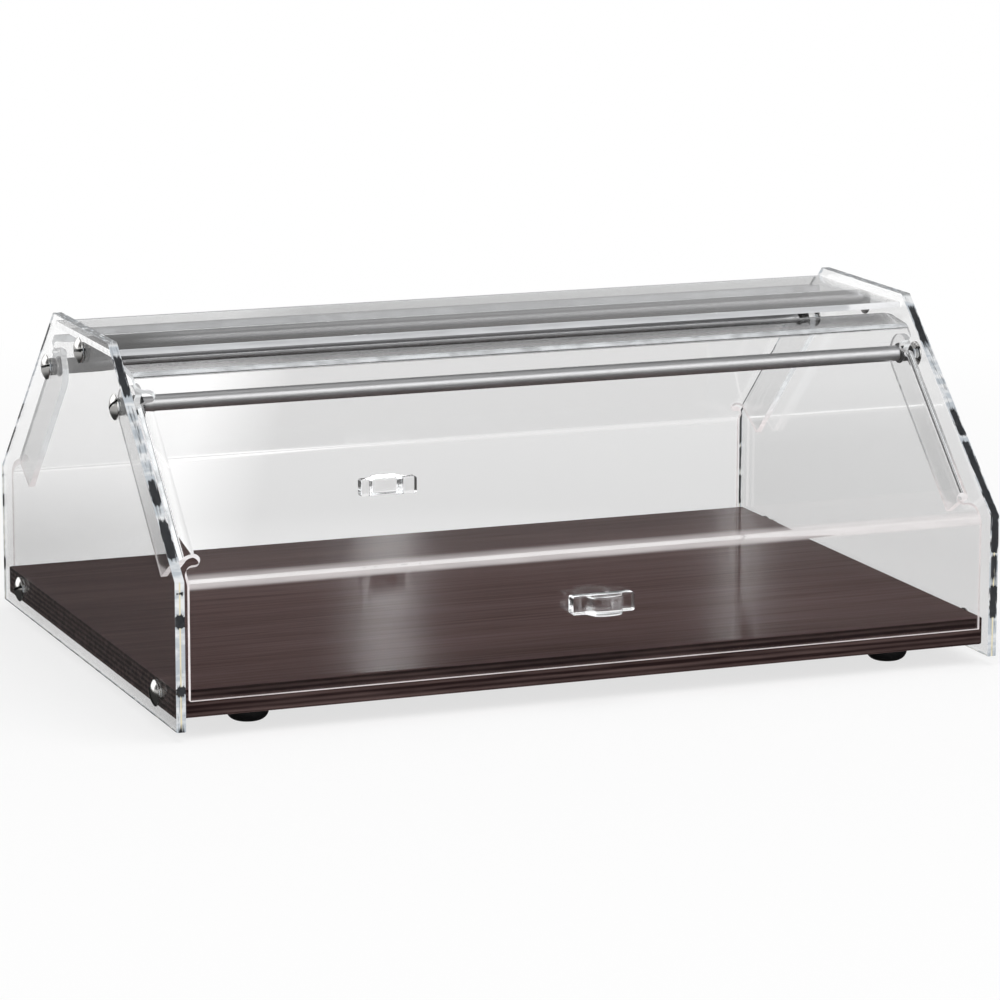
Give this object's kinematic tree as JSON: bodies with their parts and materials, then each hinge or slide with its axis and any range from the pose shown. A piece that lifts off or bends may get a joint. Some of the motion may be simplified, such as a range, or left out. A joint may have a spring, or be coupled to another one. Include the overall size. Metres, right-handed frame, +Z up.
{
  "type": "countertop display case",
  "caption": "Low clear acrylic countertop display case with chamfered shoulders, a dark plywood base on rubber feet, and bent flaps front and rear that hinge up on metal rods.",
  "frame": {"origin": "on the floor, under the middle of the case", "axes": "+Z up, -Y toward the front flap, +X along the case toward its right end"},
  "size_m": [0.5474, 0.407, 0.218],
  "materials": {
    "wenge_plywood": "satin lacquer",
    "clear_acrylic": "clear, polished",
    "satin_aluminium": "satin",
    "bright_steel": "polished",
    "dark_nylon": "matt",
    "black_rubber": "matt"
  },
  "bodies": {
    "case": {"base_board": "wenge_plywood", "left_side_panel": "clear_acrylic", "right_side_panel": "clear_acrylic", "top_panel": "clear_acrylic", "front_rod": "satin_aluminium", "middle_rod": "satin_aluminium", "rear_rod": "satin_aluminium", "front_spacer_left": "dark_nylon", "front_spacer_right": "dark_nylon", "rear_spacer_left": "dark_nylon", "rear_spacer_right": "dark_nylon", "front_washer_left": "dark_nylon", "front_washer_right": "dark_nylon", "rear_washer_left": "dark_nylon", "rear_washer_right": "dark_nylon", "front_rod_screw_left": "bright_steel", "front_rod_screw_right": "bright_steel", "middle_rod_screw_left": "bright_steel", "middle_rod_screw_right": "bright_steel", "rear_rod_screw_left": "bright_steel", "rear_rod_screw_right": "bright_steel", "base_screw_front_left": "bright_steel", "base_screw_front_right": "bright_steel", "base_screw_rear_left": "bright_steel", "base_screw_rear_right": "bright_steel", "foot_front_left": "black_rubber", "foot_front_right": "black_rubber", "foot_rear_left": "black_rubber", "foot_rear_right": "black_rubber", "foot_screw_front_left": "bright_steel", "foot_screw_front_right": "bright_steel", "foot_screw_rear_left": "bright_steel", "foot_screw_rear_right": "bright_steel"},
    "front_flap": {"front_flap": "clear_acrylic", "front_handle": "clear_acrylic", "front_arm_left": "clear_acrylic", "front_arm_right": "clear_acrylic"},
    "rear_flap": {"rear_flap": "clear_acrylic", "rear_handle": "clear_acrylic", "rear_arm_left": "clear_acrylic", "rear_arm_right": "clear_acrylic"}
  },
  "joints": [
    {"name": "front_flap_hinge", "type": "hinge", "parent": "case", "child": "front_flap", "pos_m": [0, -0.075, 0.181], "axis": [-1, 0, 0], "range_deg": [0, 132]},
    {"name": "rear_flap_hinge", "type": "hinge", "parent": "case", "child": "rear_flap", "pos_m": [0, 0.075, 0.181], "axis": [1, 0, 0], "range_deg": [0, 132]}
  ]
}
